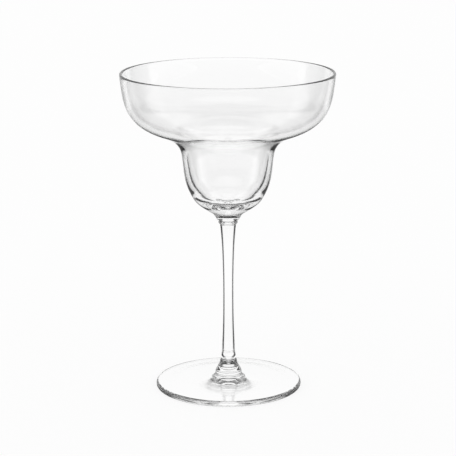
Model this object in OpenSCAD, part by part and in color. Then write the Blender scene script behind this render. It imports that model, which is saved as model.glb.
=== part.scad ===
// Margarita glass: a wide basin over a rounded cup with a short tail, blown as one bowl, on a
// drawn solid stem, on a pressed disc foot with a hub. The three pieces are fused face to face.
// Millimetres, +Z up, origin at the middle of the resting face under the foot.

/* [Bowl] */
// Outside diameter at the rim
rim_d = 116; // [104:1:126]
// Height of the basin, from the cup's neck to the rim
basin_h = 37.8; // [34:0.2:44]
// Outside diameter of the cup
cup_d = 48.8; // [44:0.2:54]
// Height of the cup, from the tail to the neck
cup_h = 39.3; // [36:0.1:44]
// Thickness of the glass at the rim
rim_wall = 1.6; // [1.2:0.1:2.2]
// Thickness of the glass in the basin
basin_wall = 2.1; // [1.6:0.1:2.8]
// Thickness of the glass in the side of the cup
cup_wall = 2.8; // [2.2:0.1:3.4]
// Thickness of the glass where the side of the cup turns into its bottom
corner_wall = 4; // [3:0.1:5]
// Thickness of the glass at the bottom of the cup, on the axis, over the tail
cup_floor = 6; // [4.8:0.1:8]
// Diameter at the top of the tail, under the cup
tail_d = 16.6; // [14:0.1:19]
// Height of the tail, from the joint with the stem to the cup
tail_h = 4.5; // [3.6:0.1:6]

/* [Stem] */
// Length of the stem, from the hub of the foot to the tail of the bowl
stem_l = 77.7; // [60:0.1:110]
// Diameter of the stem at its waist
stem_d = 5.6; // [4.8:0.1:7]
// Diameter where the stem is fused to the tail of the bowl
joint_d = 8.2; // [7.2:0.1:9.2]
// Diameter of the bead at the top of the stem
bead_d = 10.8; // [9.8:0.1:12]
// Height of the bead
collar_h = 2.2; // [1.6:0.1:3.2]
// Diameter of the stem just under that
throat_d = 8.6; // [7.4:0.1:9.4]
// Diameter of the stem just above the hub of the foot
end_d = 8.1; // [7.2:0.1:9]
// Height of the narrowing between there and the hub
end_h = 1.2; // [0.8:0.1:2]
// Diameter where the stem is fused to the hub
root_d = 5.8; // [5:0.1:6.8]

/* [Foot] */
// Diameter of the foot
foot_d = 80; // [70:1:92]
// Thickness of the foot at its edge
edge_t = 3.1; // [2.4:0.1:4]
// Height of the hub in the middle of the foot
hub_h = 15.5; // [13:0.1:19]
// Rise of the foot's top face, from its edge to the hub
dome_h = 1.3; // [0.8:0.1:2]
// Depth of the hollow under the foot
hollow_h = 0.9; // [0.4:0.1:1.5]
// Diameter of the dimple in the middle of the hollow
dimple_d = 10; // [7:0.1:13]
// How much deeper the dimple is
dimple_h = 1.2; // [0.6:0.1:1.8]
// Width of the flat ring that the glass rests on
ring_w = 3; // [2:0.1:5]

/* [Hidden] */

// Colourless glass in the preview
glass_colour = [0.93, 0.95, 0.95, 0.5];

// Straight steps in each span of a curve, and the fine circle number
steps = 6;
round_count = 96;

// Heights of the joints and of the ends of the glass
joint_z = hub_h + stem_l;
cup_z = joint_z + tail_h;
neck_z = cup_z + cup_h;
glass_h = neck_z + basin_h;

// Radii
rim_r = rim_d / 2;
cup_r = cup_d / 2;
tail_r = tail_d / 2;
joint_r = joint_d / 2;
bead_r = bead_d / 2;
throat_r = throat_d / 2;
waist_r = stem_d / 2;
end_r = end_d / 2;
root_r = root_d / 2;
foot_r = foot_d / 2;
dimple_r = dimple_d / 2;

// Bowl's outside: how far out from the cup's side to the rim, and how far up from neck to rim
basin_shares = [[0.975, 0.755], [0.93, 0.54], [0.82, 0.35], [0.635, 0.215], [0.435, 0.14], [0.22, 0.07]];
// Cup's outside: shares of its radius, and of its height above the tail
cup_shares = [[1.035, 0.94], [0.998, 0.69], [0.955, 0.44], [0.84, 0.285], [0.735, 0.16], [0.5, 0.06]];
// How much of the change from rim wall to basin wall, on to cup wall and on to corner wall each knot has
thicken_shares = [0, 0.4, 0.9, 1, 1, 1, 1];
cup_thicken_shares = [0.6, 1];
corner_thicken_shares = [0.6, 1];
// Inside of the cup's bottom: shares of the inner radius, and of the cup's height above the floor
bottom_shares = [[0.66, 0.085], [0.35, 0.01]];
// Tail: shares of the radius it adds to the joint, and of its height above the joint
tail_shares = [[0.74, 0.69], [0.6, 0.47], [0.51, 0.29], [0.46, 0.16], [0.14, 0.11]];

// Bead: shares of the radius it adds to the throat, and of its height below the joint
collar_shares = [[1, 0.14], [0.9, 0.36], [0.27, 0.64]];
// Stem from throat to waist: shares of the radius it loses, and of the plain length up from the end
upper_shares = [[0.82, 0.96], [0.58, 0.9], [0.36, 0.83], [0.2, 0.74], [0.07, 0.65], [0, 0.55]];
// Stem from waist to end: shares of the radius it gains, and of the plain length up from the end
lower_shares = [[0, 0.43], [0.07, 0.31], [0.22, 0.2], [0.46, 0.11], [0.58, 0.05], [0.8, 0.015]];

// Foot's hub: shares of the way from the root to the foot's edge, and of its rise over the top face
hub_shares = [
    [0.043, 0.96], [0.046, 0.88], [0.051, 0.8], [0.065, 0.68], [0.081, 0.57], [0.1, 0.47],
    [0.115, 0.38], [0.117, 0.28], [0.121, 0.2], [0.137, 0.11], [0.186, 0.036]
];
// Foot's top face: shares of the radius, and of the rise above the edge
top_shares = [[0.45, 0.85], [0.6, 0.6], [0.82, 0.27], [0.94, 0.06]];
// How far the foot's edge is rounded, as a share of its thickness
edge_round_share = 0.4;
// Hollow under the foot, and the dimple in it: shares of its radius and of its depth
hollow_shares = [[0.94, 0.16], [0.82, 0.6], [0.6, 0.96], [0.24, 1]];
dimple_shares = [[1, 0.06], [0.8, 0.5], [0.5, 0.97]];

function mix(a, b, share) = a + (b - a) * share;

// One point on a span of a uniform cubic curve
function span(a, b, c, d, t) =
    (a * pow(1 - t, 3) + b * (3 * pow(t, 3) - 6 * pow(t, 2) + 4)
    + c * (1 + 3 * t + 3 * pow(t, 2) - 3 * pow(t, 3)) + d * pow(t, 3)) / 6;

// Points along the curve that the knots pull, with one more knot before and after its ends
function curve(before, knots, after) =
    let (all_knots = concat([before], knots, [after]))
    let (last = len(all_knots) - 4)
    concat(
        [for (i = [0:last], s = [0:steps - 1])
            span(all_knots[i], all_knots[i + 1], all_knots[i + 2], all_knots[i + 3], s / steps)],
        [span(all_knots[last], all_knots[last + 1], all_knots[last + 2], all_knots[last + 3], 1)]
    );

// The knot that makes a curve end on its last knot
function past(knot, neighbour) = 2 * knot - neighbour;

// The knot across the axis that makes a curve cross it level
function across(knot) = [-knot.x, knot.y];

// The knot on the axis that makes such a curve cross it at the height
function on_axis(height, neighbour) = [0, (3 * height - neighbour.y) / 2];

function reversed(list) = [for (i = [len(list) - 1:-1:0]) list[i]];

// A knot moved square to the line between its neighbours, into the glass
function inset(before, knot, after, depth) =
    let (run = after - before)
    knot + depth * [run.y, -run.x] / norm(run);

// Outside of the bowl, from the rim down to the tail, and of the tail down to the joint
outer_knots = concat(
    [[rim_r, glass_h - rim_wall / 2]],
    [for (share = basin_shares) [cup_r + share.x * (rim_r - cup_r), neck_z + share.y * basin_h]],
    [for (share = cup_shares) [share.x * cup_r, cup_z + share.y * cup_h]],
    [[tail_r, cup_z]]
);
tail_knots = concat(
    [[tail_r, cup_z]],
    [for (share = tail_shares) [mix(joint_r, tail_r, share.x), joint_z + share.y * tail_h]],
    [[joint_r, joint_z]]
);

// Wall at each knot from the rim down
walls = concat(
    [for (share = thicken_shares) mix(rim_wall, basin_wall, share)],
    [for (share = cup_thicken_shares) mix(basin_wall, cup_wall, share)],
    [for (share = corner_thicken_shares) mix(cup_wall, corner_wall, share)]
);

floor_z = cup_z + cup_floor;
inner_r = cup_r - cup_wall;

// Inside of the bowl, from the rim down to the floor of the cup on the axis
inner_side_knots = concat(
    [[rim_r - rim_wall, glass_h - rim_wall / 2]],
    [for (i = [1:len(walls) - 1])
        inset(outer_knots[i - 1], outer_knots[i], outer_knots[i + 1], walls[i])]
);
inner_bottom_knots = [for (share = bottom_shares) [share.x * inner_r, floor_z + share.y * cup_h]];
inner_knots = concat(inner_side_knots, inner_bottom_knots,
    [on_axis(floor_z, inner_bottom_knots[len(inner_bottom_knots) - 1])]);

// Angle between neighbouring points of a rounded edge
turn = 90 / steps;

// Half circle over the rim, from the inside to the outside
lip_points = [for (a = [180 - turn:-turn:turn])
    [rim_r - rim_wall / 2 * (1 - cos(a)), glass_h - rim_wall / 2 * (1 - sin(a))]];

module bowl() {
    outside = curve(past(outer_knots[0], outer_knots[1]), outer_knots,
        past(outer_knots[len(outer_knots) - 1], outer_knots[len(outer_knots) - 2]));
    tail = curve(past(tail_knots[0], tail_knots[1]), tail_knots,
        past(tail_knots[len(tail_knots) - 1], tail_knots[len(tail_knots) - 2]));
    tail_under_cup = [for (i = [1:len(tail) - 1]) tail[i]];
    inside = curve(past(inner_knots[0], inner_knots[1]), inner_knots,
        across(inner_knots[len(inner_knots) - 2]));
    color(glass_colour)
        rotate_extrude($fn = round_count)
            polygon(concat(outside, tail_under_cup, [[0, joint_z]], reversed(inside), lip_points));
}

module stem() {
    throat_z = joint_z - collar_h;
    end_z = hub_h + end_h;
    plain_l = throat_z - end_z;
    knots = concat(
        [[joint_r, joint_z]],
        [for (share = collar_shares) [mix(throat_r, bead_r, share.x), joint_z - share.y * collar_h]],
        [[throat_r, throat_z]],
        [for (share = upper_shares) [mix(waist_r, throat_r, share.x), end_z + share.y * plain_l]],
        [for (share = lower_shares) [mix(waist_r, end_r, share.x), end_z + share.y * plain_l]],
        [[end_r, end_z], [root_r, hub_h]]
    );
    side = curve(past(knots[0], knots[1]), knots,
        past(knots[len(knots) - 1], knots[len(knots) - 2]));
    color(glass_colour)
        rotate_extrude($fn = round_count)
            polygon(concat([[0, joint_z]], side, [[0, hub_h]]));
}

module foot() {
    edge_r = edge_t * edge_round_share;
    crown_z = edge_t + dome_h;
    hollow_r = foot_r - edge_r - ring_w;
    top_knots = concat(
        [[root_r, hub_h]],
        [for (share = hub_shares) [mix(root_r, foot_r, share.x), mix(crown_z, hub_h, share.y)]],
        [for (share = top_shares) [share.x * foot_r, edge_t + share.y * dome_h]],
        [[foot_r - edge_r, edge_t]]
    );
    top = curve(past(top_knots[0], top_knots[1]), top_knots,
        past(top_knots[len(top_knots) - 1], top_knots[len(top_knots) - 2]));
    upper_edge = [for (a = [90 - turn:-turn:0])
        [foot_r - edge_r * (1 - cos(a)), edge_t - edge_r * (1 - sin(a))]];
    lower_edge = [for (a = [0:-turn:-90])
        [foot_r - edge_r * (1 - cos(a)), edge_r * (1 + sin(a))]];
    hollow_side_knots = [for (share = hollow_shares) [share.x * hollow_r, share.y * hollow_h]];
    dimple_knots = [for (share = dimple_shares)
        [share.x * dimple_r, hollow_h + share.y * dimple_h]];
    hollow_knots = concat([[hollow_r, 0]], hollow_side_knots, dimple_knots,
        [on_axis(hollow_h + dimple_h, dimple_knots[len(dimple_knots) - 1])]);
    hollow = curve(past(hollow_knots[0], hollow_knots[1]), hollow_knots,
        across(hollow_knots[len(hollow_knots) - 2]));
    color(glass_colour)
        rotate_extrude($fn = round_count)
            polygon(concat([[0, hub_h]], top, upper_edge, lower_edge, hollow));
}

bowl();
stem();
foot();
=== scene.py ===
"""Margarita glass: a blown bowl, a drawn stem and a pressed foot, dressed over the CAD frame."""

import logging
import math
from dataclasses import dataclass
from enum import Enum

import bmesh
import bpy
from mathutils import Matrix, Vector


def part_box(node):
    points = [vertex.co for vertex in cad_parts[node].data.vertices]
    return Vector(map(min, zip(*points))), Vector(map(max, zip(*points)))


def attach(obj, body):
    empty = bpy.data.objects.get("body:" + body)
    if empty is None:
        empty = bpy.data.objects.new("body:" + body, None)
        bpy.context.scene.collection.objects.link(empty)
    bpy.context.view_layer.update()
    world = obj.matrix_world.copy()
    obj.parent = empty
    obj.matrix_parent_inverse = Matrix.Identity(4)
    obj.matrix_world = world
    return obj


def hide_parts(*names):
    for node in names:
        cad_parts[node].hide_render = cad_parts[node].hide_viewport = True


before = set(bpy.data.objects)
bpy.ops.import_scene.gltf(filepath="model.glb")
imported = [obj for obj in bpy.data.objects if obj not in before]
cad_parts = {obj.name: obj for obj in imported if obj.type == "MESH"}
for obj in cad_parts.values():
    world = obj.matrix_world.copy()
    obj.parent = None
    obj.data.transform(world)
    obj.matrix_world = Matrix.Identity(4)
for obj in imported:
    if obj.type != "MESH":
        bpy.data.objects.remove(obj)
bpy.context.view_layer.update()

log = logging.getLogger("margarita_glass")

MM = 0.001
MERGE_DISTANCE = 0.0001 * MM
LEVEL_TOLERANCE = 0.001 * MM
NECK_JOINT_D = 8.2 * MM
ROOT_JOINT_D = 5.8 * MM
WHITE = (1.0, 1.0, 1.0, 1.0)
Knot = tuple[float, float]
Outline = list[Knot]


class Slot(Enum):
    """Names for the pieces' material slots, which nothing in the script reads."""

    BOWL = "bowl_glass"
    STEM = "stem_glass"
    FOOT = "foot_glass"


class Kind(Enum):
    """What a face of a glass piece is."""

    SURFACE = 0
    JOINT = 1


def mix(start: float, end: float, share: float) -> float:
    """Goes the share of the way from start to end."""
    return start + (end - start) * share


def span(a: float, b: float, c: float, d: float, t: float) -> float:
    """Gives one coordinate on a span of a uniform cubic curve.

    Args:
        a: The knot before the span.
        b: The knot that the span starts near.
        c: The knot that the span ends near.
        d: The knot after the span.
        t: How far along the span, from 0 to 1.

    Returns:
        The coordinate.
    """
    start = a * (1 - t) ** 3
    near_start = b * (3 * t**3 - 6 * t**2 + 4)
    near_end = c * (1 + 3 * t + 3 * t**2 - 3 * t**3)
    return (start + near_start + near_end + d * t**3) / 6


def curve(before: Knot, knots: Outline, after: Knot, steps: int) -> Outline:
    """Follows the smooth line that a row of knots pulls.

    Args:
        before: One more knot, before the first.
        knots: The knots along the line.
        after: One more knot, after the last.
        steps: Points in each span.

    Returns:
        The points along the line.
    """
    row = [before, *knots, after]
    points: Outline = []
    for i in range(len(row) - 3):
        last = steps + 1 if i == len(row) - 4 else steps
        for s in range(last):
            points.append(tuple(span(*(k[n] for k in row[i : i + 4]), s / steps) for n in (0, 1)))
    return points


def past(knot: Knot, neighbour: Knot) -> Knot:
    """Gives the knot beyond the end that makes a curve stop on its end knot."""
    return 2 * knot[0] - neighbour[0], 2 * knot[1] - neighbour[1]


def across(knot: Knot) -> Knot:
    """Gives the knot across the axis that makes a curve cross it level."""
    return -knot[0], knot[1]


def on_axis(height: float, neighbour: Knot) -> Knot:
    """Gives the knot on the axis that makes such a curve cross it at the height."""
    return 0.0, (3 * height - neighbour[1]) / 2


def inset(before: Knot, knot: Knot, after: Knot, depth: float) -> Knot:
    """Moves a knot square to the line between its neighbours, into the glass.

    Args:
        before: The knot before it.
        knot: The knot to move.
        after: The knot after it.
        depth: How far it moves.

    Returns:
        The moved knot.
    """
    run = Vector(after) - Vector(before)
    side = Vector((run.y, -run.x)).normalized() * depth
    return knot[0] + side.x, knot[1] + side.y


def arc(centre: Knot, radius: float, start: float, end: float, steps: int) -> Outline:
    """Gives the points strictly between the ends of an arc.

    Args:
        centre: The arc's centre.
        radius: The arc's radius.
        start: The angle it starts at, in degrees.
        end: The angle it ends at, in degrees.
        steps: Straight steps in the whole arc.

    Returns:
        The points between the ends.
    """
    points: Outline = []
    for s in range(1, steps):
        angle = math.radians(mix(start, end, s / steps))
        points.append((centre[0] + radius * math.cos(angle), centre[1] + radius * math.sin(angle)))
    return points


class Signal:
    """A shader socket that is worked with like a number."""

    def __init__(self, tree: bpy.types.NodeTree, socket: bpy.types.NodeSocket) -> None:
        """Keeps the node tree and the socket."""
        self.tree = tree
        self.socket = socket

    def _math(self, operation: str, *values: "Signal | float") -> "Signal":
        """Adds a Math node.

        Args:
            operation: The node's operation.
            values: The numbers or signals it works on.

        Returns:
            The node's result.
        """
        inputs = dict(enumerate(values))
        return add_node(self.tree, "ShaderNodeMath", {"operation": operation}, inputs)

    def __add__(self, other: "Signal | float") -> "Signal":
        """Adds."""
        return self._math("ADD", self, other)

    __radd__ = __add__

    def __mul__(self, other: "Signal | float") -> "Signal":
        """Multiplies."""
        return self._math("MULTIPLY", self, other)

    __rmul__ = __mul__

    def __sub__(self, other: "Signal | float") -> "Signal":
        """Takes away."""
        return self._math("SUBTRACT", self, other)

    def __rsub__(self, other: "Signal | float") -> "Signal":
        """Is taken away from a number."""
        return self._math("SUBTRACT", other, self)

    def __pow__(self, other: "Signal | float") -> "Signal":
        """Raises to a power."""
        return self._math("POWER", self, other)

    def __gt__(self, other: "Signal | float") -> "Signal":
        """Is 1 where this is the greater."""
        return self._math("GREATER_THAN", self, other)


def add_node(
    tree: bpy.types.NodeTree,
    kind: str,
    settings: dict[str, object] | None = None,
    inputs: dict[int | str, object] | None = None,
    output: int | str = 0,
) -> Signal:
    """Adds any node.

    Args:
        tree: The node tree it goes into.
        kind: The node's type.
        settings: Its own settings, set first.
        inputs: Values or signals for its sockets.
        output: The socket that is handed back.

    Returns:
        The output as a signal.
    """
    node = tree.nodes.new(kind)
    for name, value in (settings or {}).items():
        setattr(node, name, value)
    for name, value in (inputs or {}).items():
        if isinstance(value, Signal):
            tree.links.new(value.socket, node.inputs[name])
        else:
            node.inputs[name].default_value = value
    return Signal(tree, node.outputs[output])


def end_tree(tree: bpy.types.NodeTree, kind: str, surface: Signal) -> None:
    """Joins the last shader of a tree to its output.

    Args:
        tree: The node tree.
        kind: The output node's type.
        surface: The last shader.
    """
    out = tree.nodes.new(kind)
    tree.links.new(surface.socket, out.inputs["Surface"])


def bare_material(name: str) -> bpy.types.Material:
    """Makes a material that has no nodes yet.

    Args:
        name: The material's name.

    Returns:
        The material.
    """
    made = bpy.data.materials.new(name)
    made.use_nodes = True
    made.node_tree.nodes.clear()
    return made


def add_object(name: str, bm: bmesh.types.BMesh, *finishes: bpy.types.Material) -> bpy.types.Object:
    """Puts a finished bmesh into the scene.

    Args:
        name: The object's name.
        bm: Its shape, which is freed.
        finishes: Its materials, in the order of its faces' numbers.

    Returns:
        The object.
    """
    mesh = bpy.data.meshes.new(name)
    bm.to_mesh(mesh)
    bm.free()
    for finish in finishes:
        mesh.materials.append(finish)
    made = bpy.data.objects.new(name, mesh)
    bpy.context.scene.collection.objects.link(made)
    return made


@dataclass(frozen=True)
class ClearGlass:
    """Colourless soda glass with the faint unevenness that its making leaves.

    Attributes:
        name: The material's name.
        refraction: Index of refraction.
        clarity: How much light one surface lets through where it is seen square on.
        painted_edge_clarity: The same where it is seen edge on, set lower so as to paint shade
            along the outline (painted edge shade).
        painted_edge_narrowness: How closely the painted edge shade keeps to the outline.
        wave_size: Length of the surface's slow waves, across and along the axis.
        wave_depth: Depth of those waves.
        wave_detail: How many finer waves ride on them.
        polish: Roughness of the fire polished skin.
        wear: Extra roughness where the piece is handled and stood.
        wear_top: Height under which the wear shows.
        wear_fineness: How many marks of wear go on a metre.
        wear_detail: How many finer marks ride on them.
    """

    name: str
    refraction: float = 1.5
    clarity: float = 0.995
    painted_edge_clarity: float = 0.9
    painted_edge_narrowness: float = 4.0
    wave_size: tuple[float, float] = (18 * MM, 40 * MM)
    wave_depth: float = 0.004 * MM
    wave_detail: float = 2.0
    polish: float = 0.0
    wear: float = 0.02
    wear_top: float = 0.6 * MM
    wear_fineness: float = 900.0
    wear_detail: float = 3.0

    def material(self) -> bpy.types.Material:
        """Builds the material.

        Returns:
            The material, for the piece's outer and inner faces.
        """
        made = bare_material(self.name)
        tree = made.node_tree
        place = add_node(tree, "ShaderNodeTexCoord", output="Object")
        relief = {"Height": self._waves(tree, place), "Distance": self.wave_depth}
        normal = add_node(tree, "ShaderNodeBump", None, relief)
        edge_on = add_node(tree, "ShaderNodeLayerWeight", None, {"Normal": normal}, "Facing")
        # Painted shade: the glass's colour darkens where the surface is seen edge on, drawing dark
        # outlines.
        edge_shaded_tint = add_node(
            tree,
            "ShaderNodeMix",
            {"data_type": "RGBA"},
            {
                "Factor": edge_on**self.painted_edge_narrowness,
                "A": (self.clarity, self.clarity, self.clarity, 1.0),
                "B": (self.painted_edge_clarity, self.painted_edge_clarity, self.painted_edge_clarity, 1.0),
            },
            "Result",
        )
        body = add_node(
            tree,
            "ShaderNodeBsdfPrincipled",
            None,
            {
                "Base Color": edge_shaded_tint,
                "Roughness": self._roughness(tree, place),
                "IOR": self.refraction,
                "Transmission Weight": 1.0,
                "Normal": normal,
            },
        )
        end_tree(tree, "ShaderNodeOutputMaterial", body)
        return made

    def _waves(self, tree: bpy.types.NodeTree, place: Signal) -> Signal:
        """Makes the slow waves of blown and drawn glass.

        Args:
            tree: The material's node tree.
            place: Object coordinates.

        Returns:
            Their height, from 0 to 1.
        """
        across_axis, along_axis = self.wave_size
        scaled = add_node(
            tree,
            "ShaderNodeMapping",
            None,
            {"Vector": place, "Scale": (1 / across_axis, 1 / across_axis, 1 / along_axis)},
        )
        pattern = {"Vector": scaled, "Scale": 1.0, "Detail": self.wave_detail}
        return add_node(tree, "ShaderNodeTexNoise", None, pattern)

    def _roughness(self, tree: bpy.types.NodeTree, place: Signal) -> Signal:
        """Makes the polish, with fine wear low on the piece.

        Args:
            tree: The material's node tree.
            place: Object coordinates.

        Returns:
            The roughness.
        """
        height = add_node(tree, "ShaderNodeSeparateXYZ", None, {"Vector": place}, "Z")
        low = 1 - (height > self.wear_top)
        pattern = {"Vector": place, "Scale": self.wear_fineness, "Detail": self.wear_detail}
        marks = add_node(tree, "ShaderNodeTexNoise", None, pattern)
        return low * marks * self.wear + self.polish


@dataclass(frozen=True)
class FusedJoint:
    """The place where two pieces are fused, which no light sees."""

    name: str = "fused_joint"

    def material(self) -> bpy.types.Material:
        """Builds the material.

        Returns:
            A material that lets everything straight through.
        """
        made = bare_material(self.name)
        clear = add_node(made.node_tree, "ShaderNodeBsdfTransparent")
        end_tree(made.node_tree, "ShaderNodeOutputMaterial", clear)
        return made


@dataclass
class Turned:
    """A piece of glass turned about the axis from an outline.

    Attributes:
        name: The piece's name.
        node: The CAD node that it takes the place of.
        slot: Its material slot; not used.
        around: Faces in one turn.
        steps: Straight steps in each span of a curve.
    """

    name: str
    node: str
    slot: Slot
    around: int = 256
    steps: int = 8

    def outline(self) -> Outline:
        """Gives the piece's outline, from the axis round to the axis."""
        raise NotImplementedError

    def joint_heights(self) -> list[float]:
        """Gives the heights of the flat faces where it is fused to a neighbour."""
        return []

    def build(self, glass: bpy.types.Material, joint: bpy.types.Material) -> bpy.types.Object:
        """Spins the outline into a closed mesh, dresses it and puts it in the frame.

        Args:
            glass: The material of its surface.
            joint: The material of its joint faces.

        Returns:
            The finished piece.
        """
        bm = bmesh.new()
        points = [bm.verts.new((radius, 0.0, height)) for radius, height in self.outline()]
        for start, end in zip(points, points[1:]):
            bm.edges.new((start, end))
        bmesh.ops.spin(
            bm,
            geom=bm.verts[:] + bm.edges[:],
            cent=(0.0, 0.0, 0.0),
            axis=(0.0, 0.0, 1.0),
            angle=math.tau,
            steps=self.around,
            use_merge=True,
            use_duplicate=False,
        )
        bmesh.ops.remove_doubles(bm, verts=bm.verts, dist=MERGE_DISTANCE)
        bmesh.ops.recalc_face_normals(bm, faces=bm.faces)
        self._mark_joints(bm)
        piece = add_object(self.name, bm, glass, joint)
        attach(piece, "root")
        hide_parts(self.node)
        return piece

    def _mark_joints(self, bm: bmesh.types.BMesh) -> None:
        """Gives the joint faces their own material and keeps the edge round them crisp.

        Args:
            bm: The piece's mesh.
        """
        for face in bm.faces:
            face.smooth = True
            heights = [v.co.z for v in face.verts]
            for joint in self.joint_heights():
                if max(abs(z - joint) for z in heights) < LEVEL_TOLERANCE:
                    face.material_index = Kind.JOINT.value
        for edge in bm.edges:
            sides = {face.material_index for face in edge.link_faces}
            edge.smooth = len(sides) == 1


@dataclass
class Bowl(Turned):
    """The wide basin over the rounded cup, blown in one piece.

    Attributes:
        cup_d: Width of the cup.
        cup_h: Height of the cup, from the tail to the neck.
        rim_wall: Thickness of the wall at the rim.
        basin_wall: The same in the basin.
        cup_wall: The same in the cup's side.
        corner_wall: The same where the cup's side turns into its bottom.
        cup_floor: Thickness of the cup's bottom over the tail.
        tail_d: Width of the tail's top.
        tail_h: Height of the tail.
        joint_d: Width of the joint with the stem.
        basin_shares: Knots of the basin, as shares of the way out from the cup to
            the rim and of the way up from the neck to the rim's top.
        cup_shares: Knots of the cup, as shares of its radius and its height.
        thicken_shares: How far the wall has grown at each knot, from the rim's
            thickness to the basin's.
        cup_thicken_shares: The same at the next knots, up to the cup's thickness.
        corner_thicken_shares: The same after those, up to the corner's thickness.
        bottom_shares: Knots of the cup's inner bottom, as shares of its inner
            radius and of the cup's height.
        tail_shares: Knots of the tail, as shares of the way out from the joint to
            its top and of its height.
    """

    name: str = "blown_bowl"
    node: str = "bowl"
    slot: Slot = Slot.BOWL
    cup_d: float = 48.8 * MM
    cup_h: float = 39.3 * MM
    rim_wall: float = 1.6 * MM
    basin_wall: float = 2.1 * MM
    cup_wall: float = 2.8 * MM
    corner_wall: float = 4 * MM
    cup_floor: float = 6 * MM
    tail_d: float = 16.6 * MM
    tail_h: float = 4.5 * MM
    joint_d: float = NECK_JOINT_D
    basin_shares: tuple[Knot, ...] = (
        (0.975, 0.755),
        (0.93, 0.54),
        (0.82, 0.35),
        (0.635, 0.215),
        (0.435, 0.14),
        (0.22, 0.07),
    )
    cup_shares: tuple[Knot, ...] = (
        (1.035, 0.94),
        (0.998, 0.69),
        (0.955, 0.44),
        (0.84, 0.285),
        (0.735, 0.16),
        (0.5, 0.06),
    )
    thicken_shares: tuple[float, ...] = (0, 0.4, 0.9, 1, 1, 1, 1)
    cup_thicken_shares: tuple[float, ...] = (0.6, 1)
    corner_thicken_shares: tuple[float, ...] = (0.6, 1)
    bottom_shares: tuple[Knot, ...] = ((0.66, 0.085), (0.35, 0.01))
    tail_shares: tuple[Knot, ...] = (
        (0.74, 0.69),
        (0.6, 0.47),
        (0.51, 0.29),
        (0.46, 0.16),
        (0.14, 0.11),
    )

    def __post_init__(self) -> None:
        """Takes the rim and the joint from the CAD bowl's box."""
        low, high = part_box(self.node)
        self.rim_r = high[0]
        self.joint_z = low[2]
        self.glass_h = high[2]
        self.cup_z = self.joint_z + self.tail_h
        self.neck_z = self.cup_z + self.cup_h
        self.lip_z = self.glass_h - self.rim_wall / 2

    def joint_heights(self) -> list[float]:
        """Gives the height of the joint with the stem."""
        return [self.joint_z]

    def outer_knots(self) -> Outline:
        """Sets out the outside of the basin and the cup.

        Returns:
            Its knots, from the rim down to the tail's top.
        """
        cup_r = self.cup_d / 2
        basin_h = self.glass_h - self.neck_z
        knots: Outline = [(self.rim_r, self.lip_z)]
        for out, up in self.basin_shares:
            knots.append((mix(cup_r, self.rim_r, out), self.neck_z + up * basin_h))
        for out, up in self.cup_shares:
            knots.append((out * cup_r, self.cup_z + up * self.cup_h))
        knots.append((self.tail_d / 2, self.cup_z))
        return knots

    def tail_knots(self) -> Outline:
        """Sets out the tail under the cup.

        Returns:
            Its knots, from its top down to the joint with the stem.
        """
        tail_r = self.tail_d / 2
        joint_r = self.joint_d / 2
        knots: Outline = [(tail_r, self.cup_z)]
        for out, up in self.tail_shares:
            knots.append((mix(joint_r, tail_r, out), self.joint_z + up * self.tail_h))
        knots.append((joint_r, self.joint_z))
        return knots

    def inner_knots(self) -> Outline:
        """Sets out the inside, the wall's thickness away from the outside.

        Returns:
            Its knots, from the rim down to the axis.
        """
        outer = self.outer_knots()
        stages = (
            (self.rim_wall, self.basin_wall, self.thicken_shares),
            (self.basin_wall, self.cup_wall, self.cup_thicken_shares),
            (self.cup_wall, self.corner_wall, self.corner_thicken_shares),
        )
        walls = [mix(thin, thick, share) for thin, thick, shares in stages for share in shares]
        knots: Outline = [(self.rim_r - self.rim_wall, self.lip_z)]
        for i in range(1, len(walls)):
            knots.append(inset(outer[i - 1], outer[i], outer[i + 1], walls[i]))
        floor_z = self.cup_z + self.cup_floor
        inner_r = self.cup_d / 2 - self.cup_wall
        for out, up in self.bottom_shares:
            knots.append((out * inner_r, floor_z + up * self.cup_h))
        knots.append(on_axis(floor_z, knots[-1]))
        return knots

    def outline(self) -> Outline:
        """Joins the tail, the outside, the rim and the inside.

        Returns:
            The outline, from the joint's middle up the outside and down the inside.
        """
        outer = self.outer_knots()
        inner = self.inner_knots()
        tail = self.tail_knots()
        outside = curve(past(outer[0], outer[1]), outer, past(outer[-1], outer[-2]), self.steps)
        under = curve(past(tail[0], tail[1]), tail, past(tail[-1], tail[-2]), self.steps)
        inside = curve(past(inner[0], inner[1]), inner, across(inner[-2]), self.steps)
        lip_r = self.rim_wall / 2
        lip = arc((self.rim_r - lip_r, self.lip_z), lip_r, 0, 180, 2 * self.steps)
        return [(0.0, self.joint_z), *reversed(under), *reversed(outside[:-1]), *lip, *inside]


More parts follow.
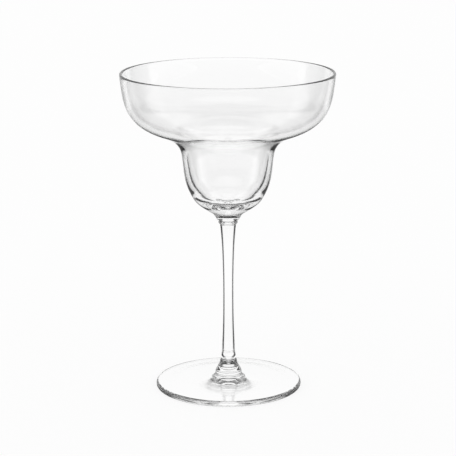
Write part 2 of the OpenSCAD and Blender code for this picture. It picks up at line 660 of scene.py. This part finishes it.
@dataclass
class Stem(Turned):
    """The solid drawn stem, with the small bead at its top.

    Attributes:
        stem_d: Width of the stem's slim middle.
        joint_d: Width of the joint with the bowl's tail.
        bead_d: Width that the bead's curve is pulled out to.
        collar_h: Height of the bead, from the throat to the joint.
        throat_d: Width of the throat under the bead.
        end_d: Width of the stem's lower end.
        end_h: Height over which the end narrows to the joint with the foot.
        root_d: Width of the joint with the foot.
        collar_shares: Knots of the bead, as shares of the way out from the throat
            to the bead and of the way down from the joint to the throat.
        upper_shares: Knots of the upper half, as shares of the way out from the
            middle to the throat and of the way up from the end to the throat.
        lower_shares: Knots of the lower half, as shares of the way out from the
            middle to the end and of the same way up.
    """

    name: str = "drawn_stem"
    node: str = "stem"
    slot: Slot = Slot.STEM
    around: int = 128
    stem_d: float = 5.6 * MM
    joint_d: float = NECK_JOINT_D
    bead_d: float = 10.8 * MM
    collar_h: float = 2.2 * MM
    throat_d: float = 8.6 * MM
    end_d: float = 8.1 * MM
    end_h: float = 1.2 * MM
    root_d: float = ROOT_JOINT_D
    collar_shares: tuple[Knot, ...] = ((1, 0.14), (0.9, 0.36), (0.27, 0.64))
    upper_shares: tuple[Knot, ...] = (
        (0.82, 0.96),
        (0.58, 0.9),
        (0.36, 0.83),
        (0.2, 0.74),
        (0.07, 0.65),
        (0, 0.55),
    )
    lower_shares: tuple[Knot, ...] = (
        (0, 0.43),
        (0.07, 0.31),
        (0.22, 0.2),
        (0.46, 0.11),
        (0.58, 0.05),
        (0.8, 0.015),
    )

    def __post_init__(self) -> None:
        """Takes the ends from the CAD stem's box."""
        low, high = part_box(self.node)
        self.hub_z = low[2]
        self.joint_z = high[2]

    def joint_heights(self) -> list[float]:
        """Gives the heights of both joints."""
        return [self.hub_z, self.joint_z]

    def outline(self) -> Outline:
        """Joins the bead, the tapers and the lower end.

        Returns:
            The outline, from the middle of the upper joint to that of the lower one.
        """
        throat_r = self.throat_d / 2
        waist_r = self.stem_d / 2
        end_r = self.end_d / 2
        joint_r = self.joint_d / 2
        bead_r = self.bead_d / 2
        throat_z = self.joint_z - self.collar_h
        end_z = self.hub_z + self.end_h
        plain_l = throat_z - end_z
        knots: Outline = [(joint_r, self.joint_z)]
        for out, down in self.collar_shares:
            knots.append((mix(throat_r, bead_r, out), self.joint_z - down * self.collar_h))
        knots.append((throat_r, throat_z))
        for out, up in self.upper_shares:
            knots.append((mix(waist_r, throat_r, out), end_z + up * plain_l))
        for out, up in self.lower_shares:
            knots.append((mix(waist_r, end_r, out), end_z + up * plain_l))
        knots.append((end_r, end_z))
        knots.append((self.root_d / 2, self.hub_z))
        side = curve(past(knots[0], knots[1]), knots, past(knots[-1], knots[-2]), self.steps)
        return [(0.0, self.joint_z), *side, (0.0, self.hub_z)]


@dataclass
class Foot(Turned):
    """The pressed disc foot with its hub, rounded edge and hollow underside.

    Attributes:
        root_d: Width of the joint with the stem.
        edge_t: Thickness of the disc at its edge.
        dome_h: How far the disc rises from its edge to the hub.
        hollow_h: Height of the hollow underneath.
        dimple_d: Width of the dimple in the hollow's middle.
        dimple_h: How much higher than the hollow the dimple reaches.
        ring_w: Width of the flat resting ring.
        edge_round_share: Radius of the edge's rounds, as a share of its thickness.
        hub_shares: Knots of the hub, as shares of the way out from the joint to
            the edge and of the way up from the disc to the joint.
        top_shares: Knots of the disc's top, as shares of the foot's radius and of
            the disc's rise.
        hollow_shares: Knots of the hollow, as shares of its radius and height.
        dimple_shares: Knots of the dimple, as shares of its radius and height.
    """

    name: str = "pressed_foot"
    node: str = "foot"
    slot: Slot = Slot.FOOT
    root_d: float = ROOT_JOINT_D
    edge_t: float = 3.1 * MM
    dome_h: float = 1.3 * MM
    hollow_h: float = 0.9 * MM
    dimple_d: float = 10 * MM
    dimple_h: float = 1.2 * MM
    ring_w: float = 3 * MM
    edge_round_share: float = 0.4
    hub_shares: tuple[Knot, ...] = (
        (0.043, 0.96),
        (0.046, 0.88),
        (0.051, 0.8),
        (0.065, 0.68),
        (0.081, 0.57),
        (0.1, 0.47),
        (0.115, 0.38),
        (0.117, 0.28),
        (0.121, 0.2),
        (0.137, 0.11),
        (0.186, 0.036),
    )
    top_shares: tuple[Knot, ...] = ((0.45, 0.85), (0.6, 0.6), (0.82, 0.27), (0.94, 0.06))
    hollow_shares: tuple[Knot, ...] = ((0.94, 0.16), (0.82, 0.6), (0.6, 0.96), (0.24, 1))
    dimple_shares: tuple[Knot, ...] = ((1, 0.06), (0.8, 0.5), (0.5, 0.97))

    def __post_init__(self) -> None:
        """Takes the foot's width and the hub's top from the CAD foot's box."""
        low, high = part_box(self.node)
        self.foot_r = high[0]
        self.rest_z = low[2]
        self.hub_h = high[2]

    def joint_heights(self) -> list[float]:
        """Gives the height of the joint with the stem."""
        return [self.hub_h]

    def outline(self) -> Outline:
        """Joins the hub, the disc's top, its edge and the hollow underneath.

        Returns:
            The outline, from the joint's middle over the edge and under to the axis.
        """
        root_r = self.root_d / 2
        edge_r = self.edge_t * self.edge_round_share
        crown_z = self.edge_t + self.dome_h
        top: Outline = [(root_r, self.hub_h)]
        for out, up in self.hub_shares:
            top.append((mix(root_r, self.foot_r, out), mix(crown_z, self.hub_h, up)))
        top += [(out * self.foot_r, self.edge_t + up * self.dome_h) for out, up in self.top_shares]
        corner_r = self.foot_r - edge_r
        top.append((corner_r, self.edge_t))
        over = curve(past(top[0], top[1]), top, past(top[-1], top[-2]), self.steps)
        upper = arc((corner_r, self.edge_t - edge_r), edge_r, 90, 0, self.steps)
        lower = arc((corner_r, edge_r), edge_r, 0, -90, self.steps)
        side = [(self.foot_r, self.edge_t - edge_r), (self.foot_r, edge_r)]
        hollow_r = corner_r - self.ring_w
        under: Outline = [(hollow_r, self.rest_z)]
        under += [(out * hollow_r, up * self.hollow_h) for out, up in self.hollow_shares]
        for out, up in self.dimple_shares:
            under.append((out * self.dimple_d / 2, self.hollow_h + up * self.dimple_h))
        under.append(on_axis(self.hollow_h + self.dimple_h, under[-1]))
        hollow = curve(past(under[0], under[1]), under, across(under[-2]), self.steps)
        edge = [*upper, *side, *lower, (corner_r, self.rest_z)]
        return [(0.0, self.hub_h), *over, *edge, *hollow]


@dataclass(frozen=True)
class Panel:
    """A soft-edged patch of the surround, the same on the left and on the right.

    Attributes:
        azimuth: Where it starts and ends, in degrees away from straight behind the glass.
        elevation: Its lower and upper end, in degrees above level.
        tone: How bright it is, where 1 is white.
        fade: Degrees over which it fades out at each end.
    """

    azimuth: tuple[float, float]
    elevation: tuple[float, float]
    tone: float
    fade: float = 4.0

    def share(self, azimuth: float, elevation: float) -> float:
        """Gives how much of the panel shows in a direction.

        Args:
            azimuth: Degrees away from straight behind the glass.
            elevation: Degrees above level.

        Returns:
            From 0 outside it to 1 inside it.
        """
        both = 1.0
        for value, (low, high) in ((azimuth, self.azimuth), (elevation, self.elevation)):
            depth = min(value - low, high - value)
            both *= min(max(depth / self.fade + 0.5, 0.0), 1.0)
        return both


class Rays(Enum):
    """Which rays a tent is made for."""

    THROUGH = "transmission"
    REFLECTED = "glossy"


@dataclass(frozen=True)
class Tent:
    """A light tent round the glass, white behind it and with darker panels beside it.

    Attributes:
        name: The tent's name.
        rays: The rays that see it.
        tone: How bright its cloth is, where 1 is white.
        panels: The patches on it, each over the ones before.
        radius: Its radius.
        around: Its faces round the level.
        upward: Its faces from bottom to top.
    """

    name: str
    rays: Rays
    tone: float
    panels: tuple[Panel, ...]
    radius: float = 3.0
    around: int = 96
    upward: int = 48

    def tone_at(self, azimuth: float, elevation: float) -> float:
        """Gives how bright the tent is in a direction from the glass.

        Args:
            azimuth: Degrees away from straight behind the glass.
            elevation: Degrees above level.

        Returns:
            Its tone, where 1 is white.
        """
        tone = self.tone
        for panel in self.panels:
            tone = mix(tone, panel.tone, panel.share(azimuth, elevation))
        return tone

    def build(self, camera: bpy.types.Object, distance: float, pitch: float) -> None:
        """Hangs the tent round the glass, facing the camera.

        Args:
            camera: The camera that it is set up from.
            distance: How far the glass is from the camera.
            pitch: How far the camera looks down, in degrees.
        """
        bm = bmesh.new()
        bmesh.ops.create_uvsphere(
            bm,
            u_segments=self.around,
            v_segments=self.upward,
            radius=self.radius,
        )
        tones = bm.verts.layers.float.new("tone")
        for vert in bm.verts:
            azimuth = math.degrees(math.atan2(abs(vert.co.x), vert.co.y))
            elevation = math.degrees(math.asin(max(-1.0, min(1.0, vert.co.z / self.radius))))
            vert[tones] = self.tone_at(azimuth, elevation)
        tent = add_object(self.name, bm, self._cloth())
        tent.parent = camera
        tent.location = (0.0, 0.0, -distance)
        tent.rotation_euler = (math.radians(pitch - 90), 0.0, 0.0)
        tent.visible_camera = False
        tent.visible_diffuse = False
        tent.visible_shadow = False
        tent.visible_glossy = self.rays is Rays.REFLECTED
        tent.visible_transmission = self.rays is Rays.THROUGH

    def _cloth(self) -> bpy.types.Material:
        """Makes the cloth, which glows as brightly as its tone.

        Returns:
            The material.
        """
        made = bare_material(self.name + "_cloth")
        tree = made.node_tree
        tone = add_node(tree, "ShaderNodeAttribute", {"attribute_name": "tone"}, output="Fac")
        glow = add_node(tree, "ShaderNodeEmission", None, {"Color": tone})
        end_tree(tree, "ShaderNodeOutputMaterial", glow)
        return made


@dataclass
class Studio:
    """The pale room the glass is shown in: floor, white surround, light tents and camera.

    Attributes:
        floor_size: Length of the floor's sides.
        floor_tone: How pale the floor is, where 1 is white.
        floor_glow: How much of the floor the camera sees as plain white.
        camera_back: How far the camera stands in front of the glass.
        camera_side: How far it stands to the right.
        camera_height: How high it stands over the floor.
        camera_pitch: How far it looks down, in degrees.
        camera_roll: How far it leans sideways, in degrees.
        camera_lens: Its focal length, in millimetres.
        glass_distance: How far the middle of the tents is from the camera.
        wall_bounces: How many surfaces of glass a ray may pass through.
        reflected_bounces: How often it may be reflected.
        through_tone: How bright the tent seen through the glass is.
        through_panels: The panels on that tent.
        reflected_tone: How bright the tent seen in the glass's reflections is.
        reflected_panels: The panels on that tent.
    """

    floor_size: float = 6.0
    floor_tone: float = 0.9
    floor_glow: float = 0.85
    camera_back: float = 0.952
    camera_side: float = 0.0007
    camera_height: float = 0.3148
    camera_pitch: float = 13.333
    camera_roll: float = 0.19
    camera_lens: float = 141.6
    glass_distance: float = 0.975
    wall_bounces: int = 32
    reflected_bounces: int = 16
    through_tone: float = 1.0
    through_panels: tuple[Panel, ...] = (
        Panel((-30, 31), (-60, 12), 1.0),
        Panel((38, 80), (-38, 15), 0.03),
        Panel((31, 100), (-60, -38), 0.05, 6),
        Panel((-30, 60), (45, 100), 0.05, 6),
        Panel((22, 60), (15, 47), 0.05, 6),
        Panel((100, 220), (-80, -20), 0.05, 8),
        Panel((100, 220), (2, 60), 0.05, 8),
    )
    reflected_tone: float = 0.15
    reflected_panels: tuple[Panel, ...] = (
        Panel((95, 220), (-90, 90), 0.9, 10),
        Panel((-30, 60), (5, 60), 0.9),
        Panel((-90, 95), (-17, 5), 0.95, 3),
    )

    def build(self) -> None:
        """Sets up the floor, the surround, the tents and the camera."""
        self._settings()
        self._floor()
        self._surround()
        camera = self._camera()
        tents = (
            Tent("tent_behind", Rays.THROUGH, self.through_tone, self.through_panels),
            Tent("tent_reflected", Rays.REFLECTED, self.reflected_tone, self.reflected_panels),
        )
        for tent in tents:
            tent.build(camera, self.glass_distance, self.camera_pitch)

    def _settings(self) -> None:
        """Sets the view transform and enough bounces for stacked glass walls."""
        scene = bpy.context.scene
        scene.view_settings.view_transform = "Standard"
        scene.cycles.max_bounces = self.wall_bounces
        scene.cycles.transmission_bounces = self.wall_bounces
        scene.cycles.glossy_bounces = self.reflected_bounces
        scene.cycles.transparent_max_bounces = self.wall_bounces

    def _surround(self) -> None:
        """Makes the white world that lights the floor softly from everywhere."""
        world = bpy.data.worlds.new("white_surround")
        bpy.context.scene.world = world
        world.use_nodes = True
        tree = world.node_tree
        tree.nodes.clear()
        light = add_node(tree, "ShaderNodeBackground", None, {"Color": WHITE})
        end_tree(tree, "ShaderNodeOutputWorld", light)

    def _floor(self) -> None:
        """Makes the plain pale floor under the foot."""
        bm = bmesh.new()
        bmesh.ops.create_grid(bm, x_segments=1, y_segments=1, size=self.floor_size / 2)
        made = bare_material("pale_floor")
        tree = made.node_tree
        tone = self.floor_tone
        matt = add_node(tree, "ShaderNodeBsdfDiffuse", None, {"Color": (tone, tone, tone, 1.0)})
        glow = add_node(tree, "ShaderNodeEmission", None, {"Color": WHITE})
        seen = add_node(tree, "ShaderNodeLightPath", output="Is Camera Ray")
        shaders = {0: seen * self.floor_glow, 1: matt, 2: glow}
        both = add_node(tree, "ShaderNodeMixShader", None, shaders)
        end_tree(tree, "ShaderNodeOutputMaterial", both)
        floor = add_object("floor", bm, made)
        floor.visible_glossy = False
        floor.visible_transmission = False

    def _camera(self) -> bpy.types.Object:
        """Sets the camera at the photograph's viewing angle.

        Returns:
            The camera.
        """
        data = bpy.data.cameras.new("camera")
        data.lens = self.camera_lens
        camera = bpy.data.objects.new("camera", data)
        bpy.context.scene.collection.objects.link(camera)
        camera.location = (self.camera_side, -self.camera_back, self.camera_height)
        turns = (90 - self.camera_pitch, self.camera_roll, 0.0)
        camera.rotation_euler = [math.radians(turn) for turn in turns]
        bpy.context.scene.camera = camera
        return camera


def main() -> None:
    """Builds the glass and its studio, and reports each piece."""
    logging.basicConfig(level=logging.INFO, format="%(message)s")
    joint = FusedJoint().material()
    dressed = (
        (Foot(), ClearGlass("pressed_glass", wave_size=(14 * MM, 14 * MM))),
        (Stem(), ClearGlass("drawn_glass", wave_size=(6 * MM, 60 * MM))),
        (Bowl(), ClearGlass("blown_glass", wave_size=(30 * MM, 40 * MM))),
    )
    for piece, finish in dressed:
        made = piece.build(finish.material(), joint)
        log.info("%s: %d faces", made.name, len(made.data.polygons))
    Studio().build()


if __name__ == "__main__":
    main()
